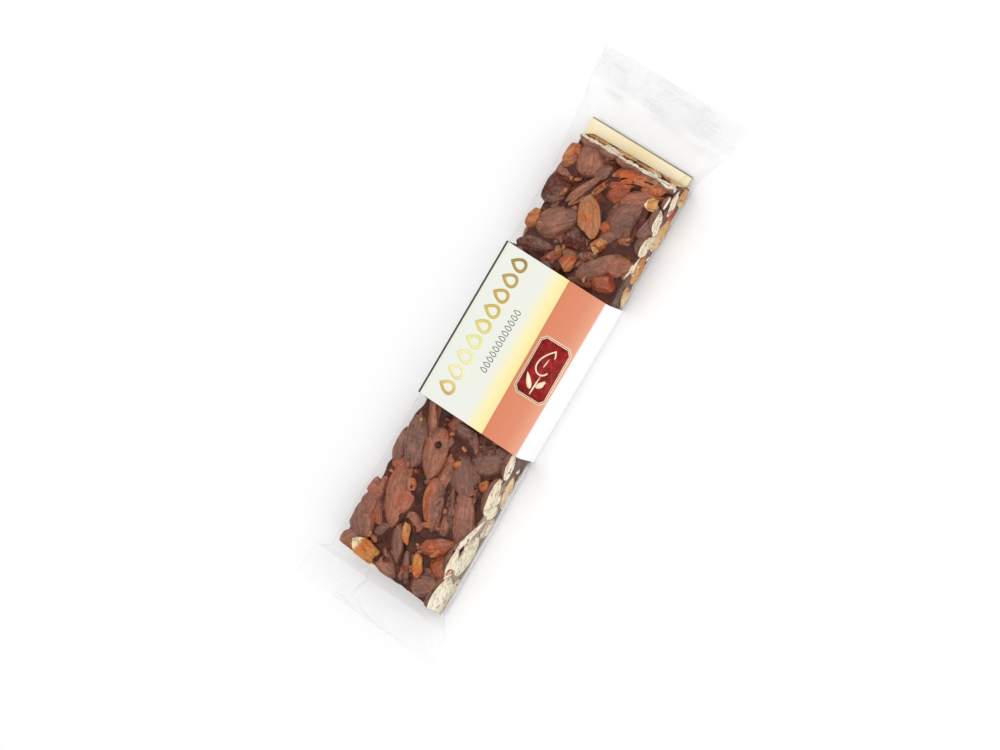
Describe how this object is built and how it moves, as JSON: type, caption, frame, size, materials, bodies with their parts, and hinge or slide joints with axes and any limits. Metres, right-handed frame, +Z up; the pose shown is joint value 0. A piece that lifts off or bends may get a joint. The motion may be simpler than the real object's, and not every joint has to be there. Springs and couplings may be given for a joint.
{
  "type": "nut brittle",
  "caption": "Flat bar of almond brittle on a tray card, sealed in clear film with crimped ends, with a paper band folded round its middle.",
  "frame": {"origin": "under the middle of the pack, on the surface that its flat back lies on", "axes": "+Y along the pack towards the end where the tray card shows, +X across it towards the knife-cut side that shows, +Z up out of the printed face"},
  "size_m": [0.059, 0.204, 0.0144],
  "materials": {
    "brittle_in_film": "glossy clear film over red-brown brittle",
    "band_paper": "smooth coated paper, printed in fields of colour",
    "clear_film": "thin glossy clear film, frosted where it is crimped",
    "almond_skin": "roasted red-brown skin, wrinkled lengthwise, with cream where it is cut",
    "caramel": "dark glassy caramel",
    "tray_card": "pale gold foil on white card"
  },
  "bodies": {
    "root": {"film_bag": "brittle_in_film", "paper_band": "band_paper"}
  },
  "joints": []
}
